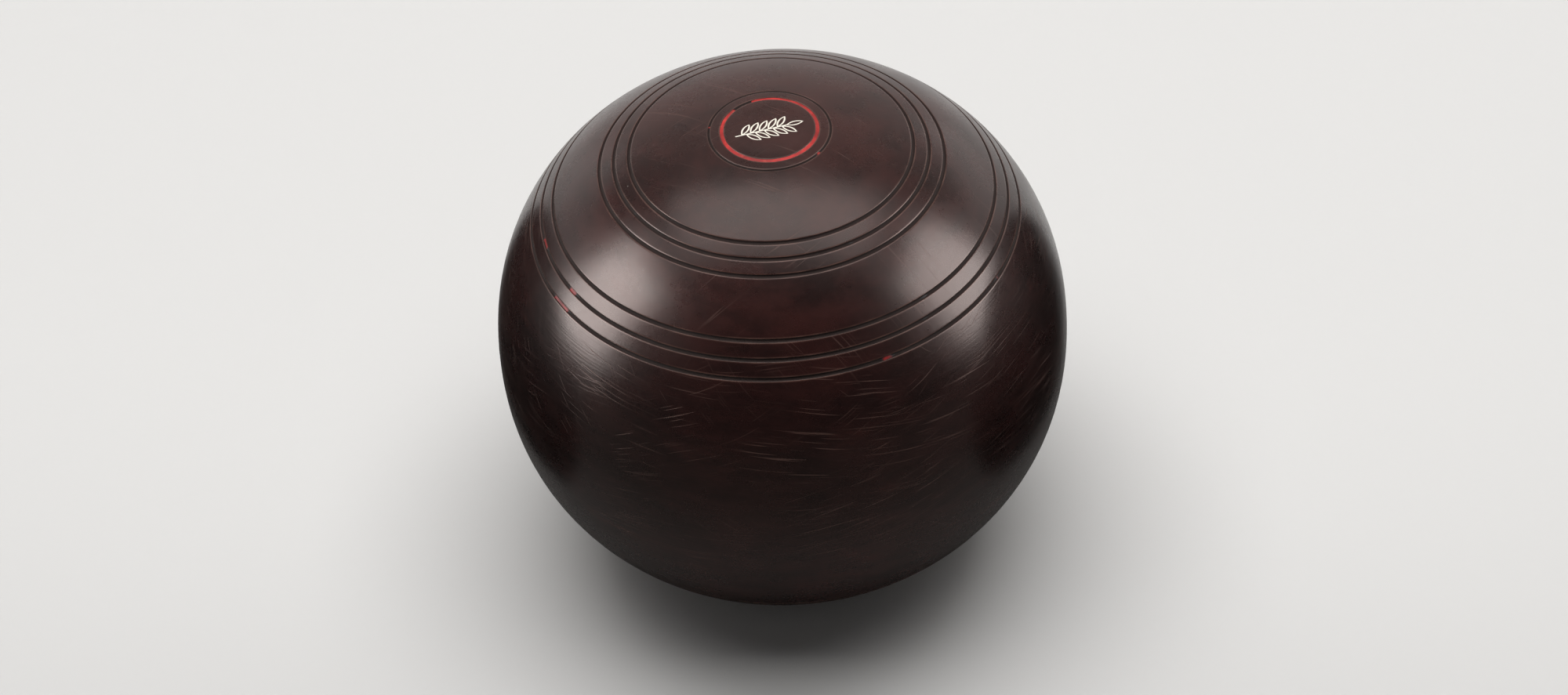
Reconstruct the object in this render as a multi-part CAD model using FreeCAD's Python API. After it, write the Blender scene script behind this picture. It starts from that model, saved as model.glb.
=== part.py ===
import FreeCAD, Part
import math
import os

# A lawn bowl, lying on its plain side with the bias side up. Millimetres and degrees.
# The turning axis is +Z, and the origin is the middle of the crown that it rests on.
# The running line, its largest circle, lies a little nearer the plain side than the
# middle of the width. That puts the weight on the bias side of it and bends the bowl's path.

# Body.
DIAMETER = 127.0
WIDTH = 115.0
BIAS_SHIFT = 0.6           # from the middle of the width down to the running line
FULLNESS = 2.17            # exponent of the meridian, where 2.0 would be an ellipse
CROWN_FLAT_RADIUS = 8.5    # turned land at the middle of each side
MERIDIAN_POINTS = 72       # on each side, along the spline

# Round-nosed grooves. Each lies in a direction measured at the bowl's centre from the axis.
GROOVE_RADIUS = 0.4
RING_GROOVE_RADIUS = 0.4
FINE_GROOVE_RADIUS = 0.26
GROOVES_IN_BAND = 3
INNER_BAND_FIRST = 30.4
INNER_BAND_PITCH = 3.5
OUTER_BAND_FIRST = 50.0
OUTER_BAND_PITCH = 3.7
BIAS_RING = 10.15
BIAS_OUTER_RING = 12.9
PLAIN_RING_FIRST = 17.1
PLAIN_RING_PITCH = 2.9
PLAIN_RING_COUNT = 3

# Enamel. Its face lies a little below the surface round it.
PAINT_RECESS = 0.1
BIAS_RING_ARCS = [(137, 478)]
BIAS_OUTER_RING_ARCS = [(168, 181), (246, 258), (318, 334)]
INNER_BAND_ARCS = {1: [(213, 215), (229, 230), (248, 249), (262, 264), (289, 290), (301, 304)]}
OUTER_BAND_ARCS = {
    0: [(313, 316)],
    1: [(192, 199), (212, 218), (311, 313)],
    2: [(190, 193), (209, 218), (297, 302), (335, 338)],
}
PLAIN_RING_ARCS = [
    [(90, 232), (292, 388)],
    [(140, 196), (285, 328)],
    [(182, 363)],
]
PLAIN_OUTER_BAND_ARCS = {
    0: [(196, 206)],
    1: [(183, 199), (338, 341)],
    2: [(201, 208)],
}

# Engraved sprig: a stem with pairs of outlined leaves, drawn about its own middle along +X.
ENGRAVING_DEPTH = 0.4
STROKE = 0.42
STEM_LENGTH = 11.4
LEAF_LENGTH = 4.0
LEAF_WIDTH = 1.55
LEAF_PAIRS = 5
LEAF_SPACING = 2.0
LEAF_TURN = 48
BIAS_SPRIG_SCALE = 1.0
BIAS_SPRIG_TURN = 20
PLAIN_SPRIG_SCALE = 1.55
PLAIN_SPRIG_TURN = 75

BIAS = 1
PLAIN = -1
RUNNING_LINE = WIDTH / 2 - BIAS_SHIFT


def crown_height(side, inset=0.0):
    """Height of one side's flat crown above the running line, on a body shrunk by inset."""
    return WIDTH / 2 + side * BIAS_SHIFT - inset


def meridian_point(side, direction, inset=0.0):
    """Point (radius, height above the running line) of one side's meridian in a direction."""
    equator = DIAMETER / 2 - inset
    land = (1 - (CROWN_FLAT_RADIUS / equator) ** FULLNESS) ** (1 / FULLNESS)
    pole = crown_height(side, inset) / land
    angle = math.radians(direction)
    reach = (math.sin(angle) / equator) ** FULLNESS + (math.cos(angle) / pole) ** FULLNESS
    distance = reach ** (-1 / FULLNESS)
    return distance * math.sin(angle), side * distance * math.cos(angle)


def place(radius, height):
    """Point of the XZ plane for a radius and a height above the running line."""
    return FreeCAD.Vector(radius, 0, RUNNING_LINE + height)


def meridian_points(side, inset):
    """Points of one side's meridian, from the rim of its crown to just short of the equator."""
    crown = crown_height(side, inset)
    first = math.degrees(math.atan2(CROWN_FLAT_RADIUS, crown))
    step = (90 - first) / MERIDIAN_POINTS
    return [meridian_point(side, first + step * count, inset) for count in range(MERIDIAN_POINTS)]


def meridian_face(inset=0.0):
    """Half section of the plain body, without grooves, in the XZ plane."""
    equator = [(DIAMETER / 2 - inset, 0.0)]
    outline = meridian_points(BIAS, inset) + equator + meridian_points(PLAIN, inset)[::-1]
    points = [place(radius, height) for radius, height in outline]
    curve = Part.BSplineCurve()
    curve.interpolate(points)
    top = place(0, crown_height(BIAS, inset))
    bottom = place(0, -crown_height(PLAIN, inset))
    edges = [
        Part.makeLine(top, points[0]),
        curve.toShape(),
        Part.makeLine(points[-1], bottom),
        Part.makeLine(bottom, top),
    ]
    return Part.Face(Part.Wire(edges))


def turned(face, start=0, sweep=360):
    """Solid of a section turned about the bowl's axis."""
    section = face.copy()
    section.rotate(FreeCAD.Vector(0, 0, 0), FreeCAD.Vector(0, 0, 1), start)
    return section.revolve(FreeCAD.Vector(0, 0, 0), FreeCAD.Vector(0, 0, 1), sweep)


def groove_face(side, direction, radius):
    """Round section of one groove, centred on the body's surface."""
    centre = place(*meridian_point(side, direction))
    circle = Part.Circle(centre, FreeCAD.Vector(0, 1, 0), radius)
    return Part.Face(Part.Wire(circle.toShape()))


def band_directions(first, pitch, count=GROOVES_IN_BAND):
    """Directions of the evenly spaced grooves of one band."""
    return [first + pitch * step for step in range(count)]


INNER_BAND = band_directions(INNER_BAND_FIRST, INNER_BAND_PITCH)
OUTER_BAND = band_directions(OUTER_BAND_FIRST, OUTER_BAND_PITCH)
PLAIN_RINGS = band_directions(PLAIN_RING_FIRST, PLAIN_RING_PITCH, PLAIN_RING_COUNT)


def all_groove_faces():
    """Sections of every groove on both sides."""
    faces = []
    for side in (BIAS, PLAIN):
        for direction in INNER_BAND + OUTER_BAND:
            faces.append(groove_face(side, direction, GROOVE_RADIUS))
    for direction in PLAIN_RINGS:
        faces.append(groove_face(PLAIN, direction, RING_GROOVE_RADIUS))
    faces.append(groove_face(BIAS, BIAS_RING, RING_GROOVE_RADIUS))
    faces.append(groove_face(BIAS, BIAS_OUTER_RING, FINE_GROOVE_RADIUS))
    return faces


def ring_paint(side, direction, radius, arcs):
    """Enamel lying in the stretches of one groove that still hold it."""
    section = groove_face(side, direction, radius).common(meridian_face(PAINT_RECESS)).Faces[0]
    return [turned(section, start, end - start) for start, end in arcs]


def band_paint(side, directions, arcs_by_groove):
    """Enamel left in the grooves of a band."""
    solids = []
    for index, arcs in arcs_by_groove.items():
        solids += ring_paint(side, directions[index], GROOVE_RADIUS, arcs)
    return Part.makeCompound(solids)


def lens_face(length, width):
    """Pointed leaf shape between two arcs, from the origin along +X."""
    base = FreeCAD.Vector(0, 0, 0)
    tip = FreeCAD.Vector(length, 0, 0)
    left = Part.Arc(base, FreeCAD.Vector(length / 2, width / 2, 0), tip).toShape()
    right = Part.Arc(tip, FreeCAD.Vector(length / 2, -width / 2, 0), base).toShape()
    return Part.Face(Part.Wire([left, right]))


def leaf_face(length, width):
    """Outline of a leaf, one stroke wide, with a pointed hole."""
    slope = 2 * width / length
    hole_length = length - 2 * STROKE / slope
    hole = lens_face(hole_length, width - 2 * STROKE)
    hole.translate(FreeCAD.Vector((length - hole_length) / 2, 0, 0))
    return lens_face(length, width).cut(hole).Faces[0]


def sprig_faces(scale):
    """Faces of the sprig along +X, centred on the origin: a stem, side leaves and a tip leaf."""
    stem_length = STEM_LENGTH * scale
    leaf_length = LEAF_LENGTH * scale
    leaf_width = LEAF_WIDTH * scale
    stem = Part.makePlane(stem_length + STROKE, STROKE, FreeCAD.Vector(0, -STROKE / 2, 0))
    tip_leaf = leaf_face(leaf_length, leaf_width)
    tip_leaf.translate(FreeCAD.Vector(stem_length, 0, 0))
    faces = [stem.Faces[0], tip_leaf]
    for count in range(2 * LEAF_PAIRS):
        hand = 1 if count % 2 else -1
        leaf = leaf_face(leaf_length, leaf_width)
        leaf.rotate(FreeCAD.Vector(0, 0, 0), FreeCAD.Vector(0, 0, 1), hand * LEAF_TURN)
        foot = stem_length - (count + 1) * LEAF_SPACING / 2 * scale
        leaf.translate(FreeCAD.Vector(foot, 0, 0))
        faces.append(leaf)
    for face in faces:
        face.translate(FreeCAD.Vector(-(stem_length + leaf_length) / 2, 0, 0))
    return faces


def sprig_prism(side, scale, turn):
    """Sprig raised through one crown, from the running line outwards."""
    prisms = [face.extrude(FreeCAD.Vector(0, 0, WIDTH)) for face in sprig_faces(scale)]
    sprig = prisms[0].fuse(prisms[1:]).removeSplitter()
    sprig.rotate(FreeCAD.Vector(0, 0, 0), FreeCAD.Vector(0, 0, 1), turn)
    foot = RUNNING_LINE if side == BIAS else RUNNING_LINE - WIDTH
    sprig.translate(FreeCAD.Vector(0, 0, foot))
    return sprig


def model():
    """Every node of the bowl, by name."""
    blank = turned(meridian_face())
    below_paint_face = turned(meridian_face(PAINT_RECESS))
    below_engraving = turned(meridian_face(ENGRAVING_DEPTH))
    bias_strokes = sprig_prism(BIAS, BIAS_SPRIG_SCALE, BIAS_SPRIG_TURN).cut(below_engraving)
    plain_strokes = sprig_prism(PLAIN, PLAIN_SPRIG_SCALE, PLAIN_SPRIG_TURN).cut(below_engraving)

    grooved = turned(meridian_face().cut(all_groove_faces()).Faces[0])
    nodes = {"bowl_body": grooved.cut([bias_strokes, plain_strokes])}
    nodes["bias_emblem_paint"] = bias_strokes.common(below_paint_face)
    nodes["plain_emblem_paint"] = plain_strokes.common(below_paint_face)
    nodes["bias_ring_paint"] = Part.makeCompound(
        ring_paint(BIAS, BIAS_RING, RING_GROOVE_RADIUS, BIAS_RING_ARCS))
    nodes["bias_outer_ring_paint"] = Part.makeCompound(
        ring_paint(BIAS, BIAS_OUTER_RING, FINE_GROOVE_RADIUS, BIAS_OUTER_RING_ARCS))
    nodes["bias_inner_band_paint"] = band_paint(BIAS, INNER_BAND, INNER_BAND_ARCS)
    nodes["bias_outer_band_paint"] = band_paint(BIAS, OUTER_BAND, OUTER_BAND_ARCS)
    nodes["plain_outer_band_paint"] = band_paint(PLAIN, OUTER_BAND, PLAIN_OUTER_BAND_ARCS)
    plain_names = ("plain_inner_ring_paint", "plain_middle_ring_paint", "plain_outer_ring_paint")
    for name, direction, arcs in zip(plain_names, PLAIN_RINGS, PLAIN_RING_ARCS):
        nodes[name] = Part.makeCompound(ring_paint(PLAIN, direction, RING_GROOVE_RADIUS, arcs))
    return nodes


os.makedirs("parts", exist_ok=True)
for node, shape in model().items():
    shape.exportStep("parts/" + node + ".step")
    print(node, shape.ShapeType, len(shape.Solids), round(shape.Volume, 2), shape.isValid())
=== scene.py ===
"""A lawn bowl: its turned body, the enamel in its grooves and engraving, and a small studio."""

import math

import bpy
from mathutils import Euler, Matrix, Vector, noise


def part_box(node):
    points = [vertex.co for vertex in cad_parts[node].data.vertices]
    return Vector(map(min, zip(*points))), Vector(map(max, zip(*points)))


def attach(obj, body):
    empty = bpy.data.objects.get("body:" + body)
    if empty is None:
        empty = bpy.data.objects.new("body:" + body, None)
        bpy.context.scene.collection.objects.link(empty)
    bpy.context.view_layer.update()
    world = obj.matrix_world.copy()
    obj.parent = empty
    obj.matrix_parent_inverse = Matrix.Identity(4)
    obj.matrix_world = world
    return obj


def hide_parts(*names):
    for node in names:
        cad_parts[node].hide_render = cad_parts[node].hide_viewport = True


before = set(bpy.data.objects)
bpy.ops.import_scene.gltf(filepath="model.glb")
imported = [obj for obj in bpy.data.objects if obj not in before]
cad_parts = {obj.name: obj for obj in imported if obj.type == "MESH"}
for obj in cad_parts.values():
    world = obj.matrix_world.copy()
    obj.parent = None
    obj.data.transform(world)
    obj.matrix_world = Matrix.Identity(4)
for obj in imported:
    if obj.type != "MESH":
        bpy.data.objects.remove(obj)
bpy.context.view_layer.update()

bl_info = {
    "name": "Lawn Bowl",
    "version": (1, 0, 0),
    "blender": (4, 5, 0),
    "location": "3D View > Sidebar > Lawn Bowl",
    "description": "Builds a worn composition lawn bowl round its packed frame",
    "category": "Object",
}

MM = 0.001
BODY_LOW, BODY_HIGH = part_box("bowl_body")

BIAS = 1
PLAIN = -1

MERGE = 0.001 * MM          # points nearer than this are one point
BODY_RELIEF = 0.03 * MM     # height of the composition's bump
ENAMEL_RELIEF = 0.04 * MM   # height of the enamel's bump

# Directions of the grooves, in degrees at the bowl's centre from the turning axis.
INNER_BAND = (30.4, 33.9, 37.4)
OUTER_BAND = (50.0, 53.7, 57.4)
BIAS_RING = 10.15
BIAS_FINE_RING = 12.9
PLAIN_RINGS = (17.1, 20.0, 22.9)


class LawnBowlShape(bpy.types.PropertyGroup):
    """Sizes of the turned body."""

    diameter: bpy.props.FloatProperty(
        name="Diameter", description="Across the running line",
        default=BODY_HIGH[0] - BODY_LOW[0], unit="LENGTH")
    width: bpy.props.FloatProperty(
        name="Width", description="Between the two flat crowns",
        default=BODY_HIGH[2] - BODY_LOW[2], unit="LENGTH")
    bias_shift: bpy.props.FloatProperty(
        name="Bias shift", description="From the middle of the width down to the running line",
        default=0.6 * MM, unit="LENGTH")
    fullness: bpy.props.FloatProperty(
        name="Fullness", description="Exponent of the meridian, where 2 is an ellipse", default=2.17)
    crown_radius: bpy.props.FloatProperty(
        name="Crown radius", description="Radius of the flat land on each side",
        default=8.5 * MM, unit="LENGTH")
    band_groove: bpy.props.FloatProperty(
        name="Band groove", description="Nose radius of the tool that cut the bands",
        default=0.4 * MM, unit="LENGTH")
    ring_groove: bpy.props.FloatProperty(
        name="Ring groove", description="Nose radius of the tool that cut the rings",
        default=0.4 * MM, unit="LENGTH")
    fine_groove: bpy.props.FloatProperty(
        name="Fine groove", description="Nose radius of the tool that cut the fine ring",
        default=0.26 * MM, unit="LENGTH")
    lip: bpy.props.FloatProperty(
        name="Worn lip", description="Rounding of the worn edge of each groove",
        default=0.11 * MM, unit="LENGTH")
    segments: bpy.props.IntProperty(
        name="Segments", description="Steps round the turned body", default=256)


class LawnBowlColours(bpy.types.PropertyGroup):
    """Colours of the composition and the enamel."""

    dark: bpy.props.FloatVectorProperty(
        name="Dark", description="Composition where it is darkest", subtype="COLOR", size=3,
        default=(0.013, 0.0044, 0.0042))
    warm: bpy.props.FloatVectorProperty(
        name="Warm", description="Composition where it is reddest", subtype="COLOR", size=3,
        default=(0.045, 0.0124, 0.0108))
    stain: bpy.props.FloatVectorProperty(
        name="Stain", description="Red blotches of the running surface", subtype="COLOR", size=3,
        default=(0.11, 0.026, 0.020))
    worn: bpy.props.FloatVectorProperty(
        name="Worn", description="Composition where it is scratched and rubbed", subtype="COLOR",
        size=3, default=(0.20, 0.105, 0.082))
    # Dirt in nicks and worn enamel; inside the grooves this colour is also painted shade.
    grime_and_shade: bpy.props.FloatVectorProperty(
        name="Grime", description="Dirt at the bottom of grooves", subtype="COLOR", size=3,
        default=(0.010, 0.005, 0.0045))
    dust: bpy.props.FloatVectorProperty(
        name="Dust", description="Pale specks caught on the surface", subtype="COLOR", size=3,
        default=(0.62, 0.58, 0.52))
    red: bpy.props.FloatVectorProperty(
        name="Red enamel", description="Enamel of the rings", subtype="COLOR", size=3,
        default=(0.62, 0.026, 0.022))
    cream: bpy.props.FloatVectorProperty(
        name="Cream enamel", description="Enamel of the emblems", subtype="COLOR", size=3,
        default=(0.95, 0.89, 0.77))
    paper: bpy.props.FloatVectorProperty(
        name="Paper", description="Pale paper under and behind the bowl", subtype="COLOR", size=3,
        default=(0.81, 0.80, 0.785))


class LawnBowlStudio(bpy.types.PropertyGroup):
    """Camera and lights."""

    lens: bpy.props.FloatProperty(
        name="Lens", description="Focal length in millimetres", default=104.0)
    camera: bpy.props.FloatVectorProperty(
        name="Camera", description="Place of the camera", subtype="XYZ", unit="LENGTH", size=3,
        default=(0.0725, -0.7427, 0.743))
    tilt: bpy.props.FloatProperty(
        name="Tilt", description="Angle below the horizon that the camera was levelled at",
        default=math.radians(42.8), subtype="ANGLE")
    left: bpy.props.FloatProperty(
        name="Left softbox", description="Brightness of the left softbox", default=8.0)
    right: bpy.props.FloatProperty(
        name="Right softbox", description="Brightness of the right softbox", default=6.0)
    top: bpy.props.FloatProperty(
        name="Top panel", description="Brightness of the panel overhead", default=2.25)
    sky: bpy.props.FloatProperty(
        name="Sky panel", description="Brightness of the broad light above, kept out of the gloss",
        default=2.45)
    rim: bpy.props.FloatProperty(
        name="Rim panels", description="Brightness of the two low panels behind", default=0.55)
    front: bpy.props.FloatProperty(
        name="Front fill", description="Brightness of the light from the front", default=0.2)


# ---------------------------------------------------------------- shader building


class Wire:
    """One output in a node tree. Arithmetic on it adds Math nodes."""

    def __init__(self, nodes, socket):
        self.nodes = nodes
        self.socket = socket

    def math(self, operation, *values):
        return self.nodes.node("ShaderNodeMath", {"operation": operation}, [self, *values])

    def __add__(self, other):
        return self.math("ADD", other)

    def __sub__(self, other):
        return self.math("SUBTRACT", other)

    def __mul__(self, other):
        return self.math("MULTIPLY", other)

    def __rsub__(self, other):
        return self.nodes.node("ShaderNodeMath", {"operation": "SUBTRACT"}, [other, self])

    __radd__ = __add__
    __rmul__ = __mul__

    def absolute(self):
        return self.math("ABSOLUTE")

    def most(self, other):
        return self.math("MAXIMUM", other)

    def step(self, low, high):
        """0 below low and 1 above high, with a smooth rise between; falls if low is above high."""
        return self.nodes.node(
            "ShaderNodeMapRange", {"interpolation_type": "SMOOTHSTEP", "clamp": True},
            [self, low, high, 0.0, 1.0])


class Nodes:
    """A node tree, built up node by node."""

    def __init__(self, tree):
        self.tree = tree

    def node(self, kind, settings, values, output=0):
        """Adds a node, sets it up, fills its inputs in order or by name, and gives an output."""
        made = self.tree.nodes.new(kind)
        for name, value in settings.items():
            setattr(made, name, value)
        pairs = values.items() if isinstance(values, dict) else enumerate(values)
        for key, value in pairs:
            self.fill(made.inputs[key], value)
        return Wire(self, made.outputs[output])

    def fill(self, socket, value):
        """Links a wire to a socket, or sets the socket to a plain value."""
        if isinstance(value, Wire):
            self.tree.links.new(value.socket, socket)
        elif isinstance(value, (tuple, list)) and len(value) == 3 and socket.type == "RGBA":
            socket.default_value = (*value, 1.0)
        else:
            socket.default_value = value

    def mix(self, share, first, second):
        """Colour between first and second."""
        return self.node("ShaderNodeMix", {"data_type": "RGBA", "clamp_factor": True},
                         {0: share, 6: first, 7: second}, 2)


class Finish(Nodes):
    """A material with one Principled shader."""

    def __init__(self, name, **constants):
        self.material = bpy.data.materials.new(name)
        self.material.use_nodes = True
        super().__init__(self.material.node_tree)
        self.shader = self.tree.nodes["Principled BSDF"]
        for socket, value in constants.items():
            self.shader.inputs[socket.replace("_", " ")].default_value = value
        self.place = self.node("ShaderNodeTexCoord", {}, [], "Object")

    def feed(self, socket, value):
        """Links a wire to an input of the Principled shader."""
        self.fill(self.shader.inputs[socket], value)

    def along(self, place, axis):
        """One coordinate of a place."""
        return self.node("ShaderNodeSeparateXYZ", {}, [place], axis)

    def attribute(self, name):
        """A number stored on the piece's points."""
        return self.node("ShaderNodeAttribute", {"attribute_name": name}, [], "Fac")

    def mapped(self, place, turn, scale):
        """Coordinates turned first and then divided by scale along each axis."""
        return self.node("ShaderNodeMapping", {"vector_type": "TEXTURE"},
                         {"Vector": place, "Rotation": turn, "Scale": scale})

    def noise(self, place, scale, detail=2.0, roughness=0.5, seed=0.0):
        """Noise from 0 to 1. A seed gives another pattern of the same kind."""
        return self.node("ShaderNodeTexNoise", {"noise_dimensions": "4D"},
                         {"Vector": place, "W": seed, "Scale": scale, "Detail": detail,
                          "Roughness": roughness}, "Fac")

    def specks(self, place, scale, radius, share, seed):
        """Small round specks, one in each of a share of the cells of a grid."""
        cells = {"voronoi_dimensions": "4D", "feature": "F1"}
        sockets = {"Vector": place, "W": seed, "Scale": scale}
        distance = self.node("ShaderNodeTexVoronoi", cells, sockets, "Distance")
        colour = self.node("ShaderNodeTexVoronoi", cells, sockets, "Color")
        chance = self.node("ShaderNodeSeparateColor", {}, [colour], "Red")
        return distance.step(radius, radius * 0.5) * chance.step(share + 0.001, share)

    def bump(self, height, distance):
        """Feeds the shader's normal with a height in units of distance metres."""
        self.feed("Normal", self.node(
            "ShaderNodeBump", {}, {"Strength": 1.0, "Distance": distance, "Height": height}))


def scratches(finish, place, families, seed):
    """Fine marks on flat coordinates, in patches, from 0 to 1.

    A family is its slope in degrees, width and length in millimetres, and the noise it starts at.
    """
    wander = finish.node(
        "ShaderNodeTexNoise", {}, {"Vector": place, "Scale": 25.0, "Detail": 1.0}, "Color")
    push = finish.node("ShaderNodeVectorMath", {"operation": "SCALE"}, {0: wander, "Scale": 6 * MM})
    bent = finish.node("ShaderNodeVectorMath", {"operation": "ADD"}, [place, push])
    total = None
    for number, (slope, width, length, share) in enumerate(families):
        turn = (0.0, 0.0, math.radians(slope))
        local = finish.mapped(bent, turn, (length * MM, width * MM, 1.0))
        lines = finish.noise(local, 1.0, 1.0, 0.35, seed + 1.3 * number).step(share, share + 0.05)
        patch = finish.noise(place, 34.0, 2.0, 0.5, seed + 3.7 * number).step(0.48, 0.66)
        marks = lines * patch
        total = marks if total is None else total.most(marks)
    return total


def composition_finish(colours):
    """Dark maroon composition, polished once and scratched since."""
    finish = Finish("composition", IOR=1.6, Specular_Tint=(1.0, 0.85, 0.80, 1.0))
    place = finish.place
    centred = finish.node(
        "ShaderNodeVectorMath", {"operation": "SUBTRACT"}, [place, (0.0, 0.0, running_height())])
    x, y, z = (finish.along(centred, axis) for axis in "XYZ")
    round_body = x.math("ARCTAN2", y * -1.0) * (shape().diameter / 2)
    rolled_out = finish.node("ShaderNodeCombineXYZ", {}, [round_body, z, 0.0])
    running = z.absolute().step(0.042, 0.028)

    lip = finish.attribute("lip")
    groove = finish.attribute("groove")

    clouds = finish.noise(place, 26.0, 3.0, 0.55, 0.4)
    layered = finish.mapped(place, (0.06, 0.04, 0.0), (9 * MM, 9 * MM, 3.0 * MM))
    mottle = finish.noise(layered, 1.0, 4.0, 0.65, 8.8)
    grain = finish.noise(place, 800.0, 2.0, 0.6, 5.1)
    warmth = clouds * 0.55 + mottle * 0.45
    base = finish.mix(warmth.step(0.36, 0.64), tuple(colours.dark), tuple(colours.warm))
    stained = finish.noise(layered, 0.35, 4.0, 0.7, 12.0).step(0.54, 0.72) * running
    base = finish.mix(stained * 0.35, base, tuple(colours.stain))
    base = finish.mix(grain.step(0.50, 0.80) * 0.30, base, tuple(colours.warm))
    # Painted shade: all round the running surface the colour is mixed towards half the darkest tone,
    # standing in for the little light these faces get from above.
    painted_shade_band = z.absolute().step(0.050, 0.036)
    base = finish.mix(painted_shade_band * 0.45, base, tuple(0.5 * part for part in colours.dark))

    rolling = scratches(finish, rolled_out, (
        (3, 0.34, 24, 0.63), (-8, 0.30, 18, 0.64), (14, 0.30, 15, 0.65),
        (24, 0.28, 12, 0.66), (-38, 0.30, 10, 0.68)), 2.0)
    handling = scratches(finish, place, ((35, 0.45, 20, 0.66), (150, 0.45, 18, 0.66)), 31.0)
    upper = z.step(-0.030, 0.012) * 0.65 + 0.35
    marks = (rolling * running * upper).most(handling * (1 - running) * 0.6)
    base = finish.mix(marks * 0.38, base, tuple(colours.worn))

    nicks = finish.specks(place, 210.0, 0.085, 0.10, 2.0)
    base = finish.mix(nicks * 0.7, base, tuple(colours.grime_and_shade))
    dust = finish.specks(place, 130.0, 0.026, 0.10, 7.0)
    base = finish.mix(dust * 0.85, base, tuple(colours.dust))

    rub = finish.noise(place, 150.0, 2.0, 0.6, 4.4).step(0.35, 0.65)
    base = finish.mix(lip * (0.20 + rub * 0.40), base, tuple(colours.worn))
    # Dirt and painted shade: the inside of every groove is mixed almost wholly to this dark colour,
    # darkening the recess where its shade falls.
    base = finish.mix(groove * 0.92, base, tuple(colours.grime_and_shade))
    finish.feed("Base Color", base)

    dull = finish.noise(place, 70.0, 4.0, 0.65, 1.9)
    finish.feed("Roughness", 0.18 + dull * 0.15 + grain * 0.05 + marks * 0.18 + groove * 0.60)

    latitude = finish.mapped(place, (0.0, 0.0, 0.0), (14 * MM, 14 * MM, 0.30 * MM))
    turned = finish.noise(latitude, 1.0, 1.0, 0.5, 6.6)
    ripple = finish.noise(place, 330.0, 2.0, 0.5, 9.3)
    swell = finish.noise(place, 75.0, 1.0, 0.5, 14.2)
    worn_line = running * (0.25 + mottle)
    relief = turned * worn_line * 0.85 + ripple * 0.55 + swell * 2.4 + grain * 0.16
    relief = relief - marks * 0.35 - nicks * 1.4 + dust * 0.8
    finish.bump(relief, BODY_RELIEF)
    return finish.material


def red_finish(colours):
    """Old red enamel, rubbed thin in places and dirty in others."""
    finish = Finish("red_enamel", IOR=1.5)
    place = finish.place
    clouds = finish.noise(place, 260.0, 3.0, 0.6, 2.0)
    deep = tuple(0.45 * part for part in colours.red)
    base = finish.mix(clouds.step(0.30, 0.70), deep, tuple(colours.red))
    highlights = finish.noise(place, 700.0, 2.0, 0.5, 4.0)
    base = finish.mix(highlights.step(0.56, 0.80) * 0.45, base, (0.74, 0.16, 0.10))
    thin = finish.attribute("thin")
    dirt = finish.noise(place, 420.0, 3.0, 0.65, 9.0)
    worn = (dirt * 0.55 + thin).step(0.55, 0.85)
    base = finish.mix(worn, base, tuple(colours.grime_and_shade))
    finish.feed("Base Color", base)
    finish.feed("Roughness", 0.32 + clouds * 0.25 + worn * 0.2)
    finish.bump(highlights + clouds, ENAMEL_RELIEF)
    return finish.material


def cream_finish(colours):
    """Cream enamel in the engraving, with patches of brown dirt."""
    finish = Finish("cream_enamel", IOR=1.5)
    place = finish.place
    stain = finish.noise(place, 520.0, 3.0, 0.6, 3.0)
    base = finish.mix(stain.step(0.58, 0.78) * 0.6, tuple(colours.cream), (0.33, 0.22, 0.15))
    finish.feed("Base Color", base)
    finish.feed("Roughness", 0.42 + stain * 0.2)
    finish.bump(stain, ENAMEL_RELIEF)
    return finish.material


def paper_finish(colours):
    """Pale paper, a little darker in front with painted shade, and far from the bowl kept even by a
    light of its own.

    The bowl's gloss shows it darker in front and to the sides, as a room does beyond its edge.
    """
    finish = Finish("paper", Roughness=0.9, Specular_IOR_Level=0.1, Emission_Strength=0.42)
    fibres = finish.noise(finish.place, 700.0, 3.0, 0.6)
    duller = tuple(0.97 * part for part in colours.paper)
    shade = finish.mix(fibres * 0.5, tuple(colours.paper), duller)
    across = finish.along(finish.place, "X").absolute()
    backwards = finish.along(finish.place, "Y")
    # Painted shade: towards the front the paper is mixed with a darker grey.
    shade = finish.mix(backwards.step(0.06, -0.24) * 0.34, shade, (0.40, 0.39, 0.38))
    behind = backwards - across * 0.75
    gloss = finish.node("ShaderNodeLightPath", {}, [], "Is Glossy Ray")
    reach = finish.node("ShaderNodeVectorMath", {"operation": "LENGTH"}, [finish.place], "Value")
    aside = behind.step(0.05, -0.03) * (0.88 + 0.12 * reach.step(0.09, 0.17)) * gloss
    finish.feed("Base Color", finish.mix(aside, shade, (0.10, 0.095, 0.09)))
    far = reach.step(0.8, 1.7) * (1 - gloss)
    finish.feed("Emission Color", finish.mix(far, (0.0, 0.0, 0.0), (1.0, 0.985, 0.97)))
    return finish.material


# ---------------------------------------------------------------- shape helpers


def shape():
    return bpy.context.scene.lawn_bowl_shape


def crown_height(side):
    """From the running line to one side's crown."""
    return shape().width / 2 + side * shape().bias_shift


def running_height():
    """Height of the running line above the floor."""
    return BODY_LOW[2] + shape().width / 2 - shape().bias_shift


def meridian(side, direction):
    """Point (radius, height above the running line) of the meridian in a direction."""
    equator = shape().diameter / 2
    power = shape().fullness
    land = (1 - (shape().crown_radius / equator) ** power) ** (1 / power)
    pole = crown_height(side) / land
    angle = math.radians(direction)
    reach = (math.sin(angle) / equator) ** power + (abs(math.cos(angle)) / pole) ** power
    distance = reach ** (-1 / power)
    return Vector((distance * math.sin(angle), side * distance * math.cos(angle)))


def tangent(side, direction):
    """Unit vector along the meridian, away from the crown."""
    return (meridian(side, direction + 0.05) - meridian(side, direction - 0.05)).normalized()


def outward(side, direction):
    """Unit normal of the meridian."""
    along = tangent(side, direction)
    return Vector((-along.y, along.x)) * side


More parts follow.
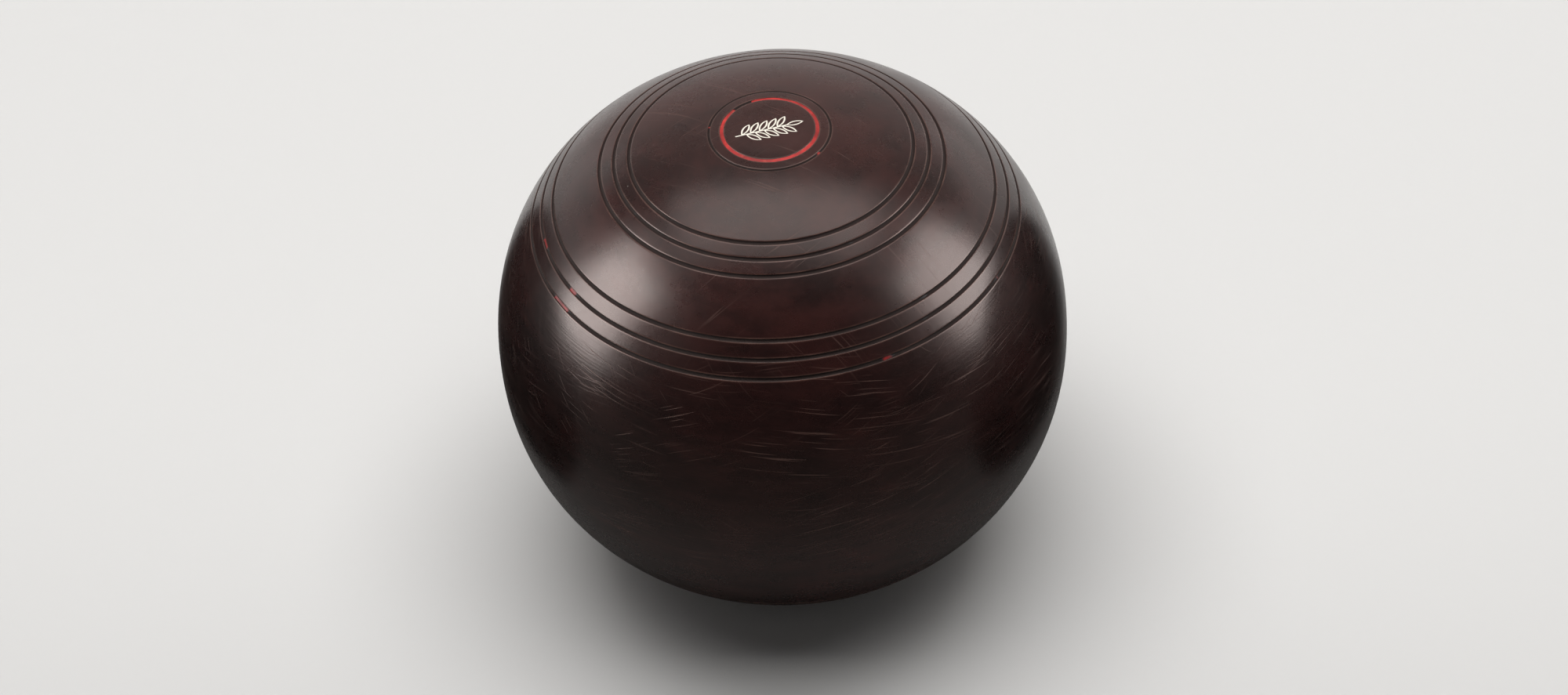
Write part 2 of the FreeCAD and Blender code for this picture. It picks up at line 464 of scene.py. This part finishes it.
def grooves(side):
    """Direction and nose radius of each groove of one side, from the crown outwards."""
    band = shape().band_groove
    found = [(direction, band) for direction in INNER_BAND + OUTER_BAND]
    if side == BIAS:
        found += [(BIAS_RING, shape().ring_groove), (BIAS_FINE_RING, shape().fine_groove)]
    else:
        found += [(direction, shape().ring_groove) for direction in PLAIN_RINGS]
    return sorted(found)


def groove_section(side, direction, nose):
    """Points of one groove: a worn lip, the round bottom and the other lip."""
    lip = shape().lip
    reach = math.sqrt(nose * nose + 2 * nose * lip)
    meet = math.atan2(lip, reach)
    points = []
    for share in (0.0, 0.5):
        angle = share * (math.pi / 2 - meet)
        points.append((-reach + lip * math.sin(angle), -lip + lip * math.cos(angle)))
    for count in range(7):
        angle = math.pi + meet + (math.pi - 2 * meet) * count / 6
        points.append((nose * math.cos(angle), nose * math.sin(angle)))
    points += [(-across, depth) for across, depth in reversed(points[:2])]
    centre = meridian(side, direction)
    along = tangent(side, direction)
    out = outward(side, direction)
    return [centre + along * across + out * depth for across, depth in points]


def side_outline(side):
    """Outline of one side from its crown to just short of the running line."""
    crown = crown_height(side)
    radius = shape().crown_radius
    points = [Vector((radius * share, side * crown)) for share in (0.88, 0.95)]
    direction = math.degrees(math.atan2(radius * 1.07, crown))
    step = 2.2
    shortest = 0.4 * step
    margin = 0.25
    for groove, nose in grooves(side):
        half_width = math.sqrt(nose * nose + 2 * nose * shape().lip)
        reach = math.degrees(half_width / meridian(side, groove).length) + margin
        while direction < groove - reach - shortest:
            points.append(meridian(side, direction))
            direction += step
        points.append(meridian(side, groove - reach))
        points += groove_section(side, groove, nose)
        points.append(meridian(side, groove + reach))
        direction = groove + reach + step * 0.5
    while direction < 90 - shortest:
        points.append(meridian(side, direction))
        direction += step
    return points


def deselect():
    """An operator acts on all that is selected, so nothing is left selected before one."""
    for thing in bpy.context.selected_objects:
        thing.select_set(False)


def finished(piece, name, material, node):
    """Names a piece, gives it its finish and stands it for its CAD node."""
    piece.name = name
    piece.data.name = name
    piece.data.materials.clear()
    piece.data.materials.append(material)
    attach(piece, "root")
    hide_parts(node)


def lathe(outline):
    """Closed body turned from an outline of (radius, height) points about the Z axis."""
    deselect()
    bpy.ops.mesh.primitive_plane_add(size=MM)
    body = bpy.context.object
    bpy.ops.object.mode_set(mode="EDIT")
    bpy.ops.mesh.select_mode(type="VERT")
    bpy.ops.mesh.select_all(action="SELECT")
    bpy.ops.mesh.merge(type="CENTER")
    bpy.ops.transform.translate(value=(outline[0].x, 0, outline[0].y))
    for last, point in zip(outline, outline[1:]):
        move = (point.x - last.x, 0, point.y - last.y)
        bpy.ops.mesh.extrude_vertices_move(TRANSFORM_OT_translate={"value": move})
    bpy.ops.mesh.select_all(action="SELECT")
    bpy.ops.mesh.spin(steps=shape().segments, angle=math.tau, center=(0, 0, 0), axis=(0, 0, 1))
    bpy.ops.mesh.select_all(action="SELECT")
    bpy.ops.mesh.remove_doubles(threshold=0.005 * MM)
    bpy.ops.mesh.fill_holes(sides=0)
    bpy.ops.mesh.select_all(action="SELECT")
    bpy.ops.mesh.normals_make_consistent(inside=False)
    bpy.ops.object.mode_set(mode="OBJECT")
    return body


def engrave(body, node, side):
    """Cuts the pocket of one emblem, whose enamel is a CAD node, out of the body."""
    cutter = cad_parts[node].copy()
    cutter.data = cutter.data.copy()
    bpy.context.collection.objects.link(cutter)
    cutter.parent = None
    cutter.matrix_world = Matrix.Identity(4)
    deselect()
    cutter.select_set(True)
    bpy.context.view_layer.objects.active = cutter
    bpy.ops.object.mode_set(mode="EDIT")
    bpy.ops.mesh.select_all(action="SELECT")
    bpy.ops.mesh.remove_doubles(threshold=MERGE)
    bpy.ops.mesh.select_mode(type="FACE")
    bpy.ops.mesh.select_all(action="DESELECT")
    bpy.ops.object.mode_set(mode="OBJECT")
    for face in cutter.data.polygons:
        face.select = face.normal.z * side > 0.5
    bpy.ops.object.mode_set(mode="EDIT")
    clear_of_surface = (0, 0, side * 1.5 * MM)
    bpy.ops.mesh.extrude_region_move(TRANSFORM_OT_translate={"value": clear_of_surface})
    bpy.ops.object.mode_set(mode="OBJECT")
    deselect()
    body.select_set(True)
    bpy.context.view_layer.objects.active = body
    cut = body.modifiers.new("pocket", "BOOLEAN")
    cut.operation = "DIFFERENCE"
    cut.solver = "EXACT"
    cut.object = cutter
    bpy.ops.object.modifier_apply(modifier=cut.name)
    bpy.data.objects.remove(cutter)
    if not body.data.polygons:
        raise RuntimeError("Cutting the pocket of " + node + " left nothing of the body")


def mark_grooves(body):
    """Stores on each point how far it is on a worn lip, and whether it is inside a groove."""
    lip_marks = body.data.attributes.new("lip", "FLOAT", "POINT")
    groove_marks = body.data.attributes.new("groove", "FLOAT", "POINT")
    middle = running_height()
    for index, vertex in enumerate(body.data.vertices):
        x, y, z = vertex.co
        radius = math.hypot(x, y)
        height = z - middle
        side = BIAS if height > 0 else PLAIN
        direction = math.degrees(math.atan2(radius, abs(height)))
        near, nose = min(grooves(side), key=lambda groove: abs(groove[0] - direction))
        distance = (Vector((radius, height)) - meridian(side, near)).length
        lip_marks.data[index].value = max(0.0, 1 - abs(distance - 1.2 * nose) / (0.35 * nose))
        groove_marks.data[index].value = 1.0 if distance < nose * 1.02 else 0.0


# ---------------------------------------------------------------- operators


class LAWNBOWL_OT_body(bpy.types.Operator):
    """Turn the body, engrave both emblems and finish it as worn composition"""

    bl_idname = "lawn_bowl.body"
    bl_label = "Turn the body"

    def execute(self, context):
        equator = [Vector((shape().diameter / 2, 0.0))]
        outline = side_outline(BIAS) + equator + side_outline(PLAIN)[::-1]
        raised = [Vector((point.x, point.y + running_height())) for point in outline]
        body = lathe(raised)
        engrave(body, "bias_emblem_paint", BIAS)
        engrave(body, "plain_emblem_paint", PLAIN)
        mark_grooves(body)
        deselect()
        body.select_set(True)
        bpy.ops.object.shade_smooth_by_angle(angle=math.radians(38))
        material = composition_finish(context.scene.lawn_bowl_colours)
        finished(body, "turned_body", material, "bowl_body")
        return {"FINISHED"}


SHORT_REMAIN = 30           # degrees of arc, under which the enamel is a worn remain

# Stretches that still hold enamel: side, groove direction, which tool, and arcs in degrees.
ENAMEL = {
    "bias_ring_paint": [(BIAS, BIAS_RING, "ring_groove", [(137, 478)])],
    "bias_outer_ring_paint": [
        (BIAS, BIAS_FINE_RING, "fine_groove", [(168, 181), (246, 258), (318, 334)])],
    "bias_inner_band_paint": [
        (BIAS, INNER_BAND[1], "band_groove",
         [(213, 215), (229, 230), (248, 249), (262, 264), (289, 290), (301, 304)])],
    "bias_outer_band_paint": [
        (BIAS, OUTER_BAND[0], "band_groove", [(313, 316)]),
        (BIAS, OUTER_BAND[1], "band_groove", [(192, 199), (212, 218), (311, 313)]),
        (BIAS, OUTER_BAND[2], "band_groove", [(190, 193), (209, 218), (297, 302), (335, 338)])],
    "plain_inner_ring_paint": [
        (PLAIN, PLAIN_RINGS[0], "ring_groove", [(90, 232), (292, 388)])],
    "plain_middle_ring_paint": [
        (PLAIN, PLAIN_RINGS[1], "ring_groove", [(140, 196), (285, 328)])],
    "plain_outer_ring_paint": [(PLAIN, PLAIN_RINGS[2], "ring_groove", [(182, 363)])],
    "plain_outer_band_paint": [
        (PLAIN, OUTER_BAND[0], "band_groove", [(196, 206)]),
        (PLAIN, OUTER_BAND[1], "band_groove", [(183, 199), (338, 341)]),
        (PLAIN, OUTER_BAND[2], "band_groove", [(201, 208)])],
}


def enamel_strip(side, direction, nose, start, end, wear):
    """Enamel in one stretch of a groove, lumpy along its face and drawn out thin at its ends.

    Wear goes from 0, well filled, to 1, a sunken and dirty remain.
    """
    centre = meridian(side, direction)
    out = outward(side, direction)
    sweep = math.radians(end - start)
    length = sweep * centre.x
    deselect()
    into_wall = 0.02 * MM
    bpy.ops.mesh.primitive_circle_add(vertices=16, radius=nose + into_wall, fill_type="NGON")
    strip = bpy.context.object
    bpy.ops.object.mode_set(mode="EDIT")
    bpy.ops.mesh.select_all(action="SELECT")
    bpy.ops.transform.rotate(value=math.pi / 2, orient_axis="X", center_override=(0, 0, 0))
    middle = Vector((centre.x, 0, centre.y + running_height()))
    bpy.ops.transform.translate(value=middle)
    normal = Vector((out.x, 0, out.y))
    sunk = nose * (0.16 + 0.30 * wear)
    bpy.ops.mesh.bisect(plane_co=middle - normal * sunk, plane_no=normal, clear_outer=True)
    bpy.ops.mesh.select_all(action="SELECT")
    step_length = 0.22 * MM
    steps = max(8, round(length / step_length))
    bpy.ops.mesh.spin(steps=steps, angle=-sweep, center=(0, 0, 0), axis=(0, 0, 1))
    bpy.ops.mesh.select_all(action="SELECT")
    bpy.ops.mesh.remove_doubles(threshold=MERGE)
    bpy.ops.mesh.normals_make_consistent(inside=False)
    bpy.ops.object.mode_set(mode="OBJECT")
    taper = (0.8 + wear) * MM
    thin = strip.data.attributes.new("thin", "FLOAT", "POINT")
    for index, vertex in enumerate(strip.data.vertices):
        turned = math.atan2(vertex.co.y, vertex.co.x) % math.tau
        around = Vector((math.cos(turned), math.sin(turned), 0))
        bottom = around * (centre.x - out.x * nose) + Vector((0, 0, middle.z - out.y * nose))
        from_end = max(0.0, min(turned, sweep - turned)) * centre.x
        ragged = noise.noise(around * 60.0 + Vector((start, direction, 0)))
        full = min(1.0, max(0.05, (from_end + ragged * 0.4 * MM) / taper))
        level = full * (0.96 + 0.10 * noise.noise(around * 9.0 + Vector((0, 0, start))))
        vertex.co = bottom + (vertex.co - bottom) * min(level, 1.0)
        thin.data[index].value = 1.0 - full * (1.0 - 0.32 * wear)
    strip.data.transform(Matrix.Rotation(math.radians(start), 4, "Z"))
    return strip


class LAWNBOWL_OT_ring_enamel(bpy.types.Operator):
    """Lay the worn red enamel in the grooves of both sides"""

    bl_idname = "lawn_bowl.ring_enamel"
    bl_label = "Lay the red enamel"

    def execute(self, context):
        material = red_finish(context.scene.lawn_bowl_colours)
        for node, stretches in ENAMEL.items():
            strips = []
            for side, direction, tool, arcs in stretches:
                nose = getattr(shape(), tool)
                for start, end in arcs:
                    wear = 1.0 if end - start < SHORT_REMAIN else 0.0
                    strips.append(enamel_strip(side, direction, nose, start, end, wear))
            deselect()
            for strip in strips:
                strip.select_set(True)
            bpy.context.view_layer.objects.active = strips[0]
            if len(strips) > 1:
                bpy.ops.object.join()
            bpy.ops.object.shade_smooth_by_angle(angle=math.radians(50))
            name = node.replace("paint", "enamel")
            finished(bpy.context.object, name, material, node)
        return {"FINISHED"}


class LAWNBOWL_OT_emblem_enamel(bpy.types.Operator):
    """Finish the cream enamel of the two emblems"""

    bl_idname = "lawn_bowl.emblem_enamel"
    bl_label = "Finish the cream enamel"

    def execute(self, context):
        material = cream_finish(context.scene.lawn_bowl_colours)
        for name in ("bias_emblem_paint", "plain_emblem_paint"):
            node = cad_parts[name]
            node.data.materials.clear()
            node.data.materials.append(material)
        return {"FINISHED"}


def softbox(name, bearing, size, brightness, glossy=True, diffuse=True):
    """Rectangular light that faces the bowl, equally bright all over its face.

    The bearing is degrees from straight behind, turning right, then degrees up, then metres away.
    """
    light = bpy.data.lights.new(name, "AREA")
    light.shape = "RECTANGLE"
    light.size, light.size_y = size
    light.energy = brightness * math.pi * light.size * light.size_y
    lamp = bpy.data.objects.new(name, light)
    bpy.context.collection.objects.link(lamp)
    turn, rise, distance = math.radians(bearing[0]), math.radians(bearing[1]), bearing[2]
    level = math.cos(rise)
    away = Vector((math.sin(turn) * level, math.cos(turn) * level, math.sin(rise)))
    lamp.location = Vector((0, 0, running_height())) + away * distance
    lamp.rotation_euler = (-away).to_track_quat("-Z", "Y").to_euler()
    lamp.visible_glossy = glossy
    lamp.visible_diffuse = diffuse
    lamp.visible_camera = False


def black_card(name, place, turn):
    """Round dark card beside the bowl, out of sight, that keeps the pale paper out of its gloss."""
    deselect()
    bpy.ops.mesh.primitive_circle_add(
        vertices=48, radius=0.055, fill_type="NGON", location=place, rotation=(0, turn, 0))
    card = bpy.context.object
    card.name = name
    finish = Finish(name, Base_Color=(0.008, 0.005, 0.004, 1.0), Roughness=0.7)
    card.data.materials.append(finish.material)
    card.visible_camera = False
    card.visible_shadow = False
    card.visible_diffuse = False
    bpy.ops.object.transform_apply(location=True, rotation=True, scale=True)


def paper_sweep(colours):
    """Pale paper laid on the floor, curving up into a wall behind."""
    deselect()
    bpy.ops.mesh.primitive_plane_add(size=MM)
    paper = bpy.context.object
    bpy.ops.object.mode_set(mode="EDIT")
    bpy.ops.mesh.select_mode(type="VERT")
    bpy.ops.mesh.select_all(action="SELECT")
    bpy.ops.mesh.merge(type="CENTER")
    width, front, floor_depth, bend, wall = 3.6, -1.6, 2.3, 0.5, 1.3
    bpy.ops.transform.translate(value=(-width / 2, front, 0))
    turns = 12
    angles = [math.pi / 2 * count / turns for count in range(turns + 1)]
    curve = [(bend * math.sin(angle), bend * (1 - math.cos(angle))) for angle in angles]
    steps = [(floor_depth, 0.0)]
    steps += [(there[0] - here[0], there[1] - here[1]) for here, there in zip(curve, curve[1:])]
    steps.append((0.0, wall))
    for back, up in steps:
        bpy.ops.mesh.extrude_vertices_move(TRANSFORM_OT_translate={"value": (0, back, up)})
    bpy.ops.mesh.select_all(action="SELECT")
    bpy.ops.mesh.extrude_edges_move(TRANSFORM_OT_translate={"value": (width, 0, 0)})
    bpy.ops.mesh.select_all(action="SELECT")
    bpy.ops.mesh.normals_make_consistent(inside=False)
    bpy.ops.object.mode_set(mode="OBJECT")
    bpy.ops.object.shade_smooth_by_angle(angle=math.radians(40))
    paper.name = "paper_sweep"
    paper.data.materials.append(paper_finish(colours))


def studio_world():
    """Pale surroundings for the camera and a dark room for everything else."""
    world = bpy.data.worlds.new("studio")
    world.use_nodes = True
    nodes = Nodes(world.node_tree)
    seen = nodes.node("ShaderNodeLightPath", {}, [], "Is Camera Ray")
    colour = nodes.mix(seen, (0.035, 0.034, 0.034), (0.76, 0.75, 0.74))
    nodes.fill(world.node_tree.nodes["Background"].inputs["Color"], colour)
    bpy.context.scene.world = world


def studio_camera(studio):
    """Camera turned from its levelled aim towards the bowl, which leans the bowl's axis a little."""
    camera = bpy.data.cameras.new("camera")
    camera.lens = studio.lens
    camera.sensor_width = 36.0
    holder = bpy.data.objects.new("camera", camera)
    bpy.context.collection.objects.link(holder)
    holder.location = studio.camera
    levelled = Euler((math.pi / 2 - studio.tilt, 0, 0)).to_quaternion()
    forward = levelled @ Vector((0, 0, -1))
    aim_height = 0.44 * BODY_HIGH[2]
    aim = Vector((0, 0, aim_height)) - Vector(studio.camera)
    holder.rotation_mode = "QUATERNION"
    holder.rotation_quaternion = forward.rotation_difference(aim) @ levelled
    bpy.context.scene.camera = holder


class LAWNBOWL_OT_stage(bpy.types.Operator):
    """Set the pale floor, the softboxes and the camera"""

    bl_idname = "lawn_bowl.stage"
    bl_label = "Set the stage"

    def execute(self, context):
        studio = context.scene.lawn_bowl_studio
        paper_sweep(context.scene.lawn_bowl_colours)
        black_card("left_card", (-0.088, 0.0, 0.045), math.pi / 2)
        black_card("right_card", (0.088, 0.0, 0.045), -math.pi / 2)
        softbox("left_softbox", (-96, 25, 1.0), (0.48, 0.80), studio.left, diffuse=False)
        softbox("right_softbox", (86, 25, 1.0), (0.54, 0.74), studio.right, diffuse=False)
        softbox("top_panel", (0, 80, 1.1), (1.3, 0.56), studio.top)
        softbox("left_rim", (-54, 13, 1.0), (0.62, 0.42), studio.rim, diffuse=False)
        softbox("right_rim", (42, 12, 1.0), (0.62, 0.36), studio.rim, diffuse=False)
        softbox("sky_panel", (180, 88, 1.6), (2.0, 1.2), studio.sky, glossy=False)
        softbox("front_fill", (180, 40, 1.5), (1.6, 0.7), studio.front, glossy=False)
        studio_world()
        studio_camera(studio)
        context.scene.view_settings.view_transform = "Standard"
        return {"FINISHED"}


class LAWNBOWL_PT_panel(bpy.types.Panel):
    """Buttons that build the bowl"""

    bl_idname = "LAWNBOWL_PT_panel"
    bl_label = "Lawn Bowl"
    bl_space_type = "VIEW_3D"
    bl_region_type = "UI"
    bl_category = "Lawn Bowl"

    def draw(self, context):
        for operator in OPERATORS:
            self.layout.operator(operator.bl_idname)
        for group in ("lawn_bowl_shape", "lawn_bowl_colours", "lawn_bowl_studio"):
            settings = getattr(context.scene, group)
            for name in settings.bl_rna.properties.keys():
                if name not in ("rna_type", "name"):
                    self.layout.prop(settings, name)


OPERATORS = (
    LAWNBOWL_OT_body,
    LAWNBOWL_OT_ring_enamel,
    LAWNBOWL_OT_emblem_enamel,
    LAWNBOWL_OT_stage,
)
CLASSES = (LawnBowlShape, LawnBowlColours, LawnBowlStudio, *OPERATORS, LAWNBOWL_PT_panel)


def register():
    for each in CLASSES:
        bpy.utils.register_class(each)
    bpy.types.Scene.lawn_bowl_shape = bpy.props.PointerProperty(type=LawnBowlShape)
    bpy.types.Scene.lawn_bowl_colours = bpy.props.PointerProperty(type=LawnBowlColours)
    bpy.types.Scene.lawn_bowl_studio = bpy.props.PointerProperty(type=LawnBowlStudio)


def unregister():
    del bpy.types.Scene.lawn_bowl_studio
    del bpy.types.Scene.lawn_bowl_colours
    del bpy.types.Scene.lawn_bowl_shape
    for each in reversed(CLASSES):
        bpy.utils.unregister_class(each)


def main():
    register()
    bpy.ops.lawn_bowl.body()
    bpy.ops.lawn_bowl.ring_enamel()
    bpy.ops.lawn_bowl.emblem_enamel()
    bpy.ops.lawn_bowl.stage()


if __name__ == "__main__":
    main()
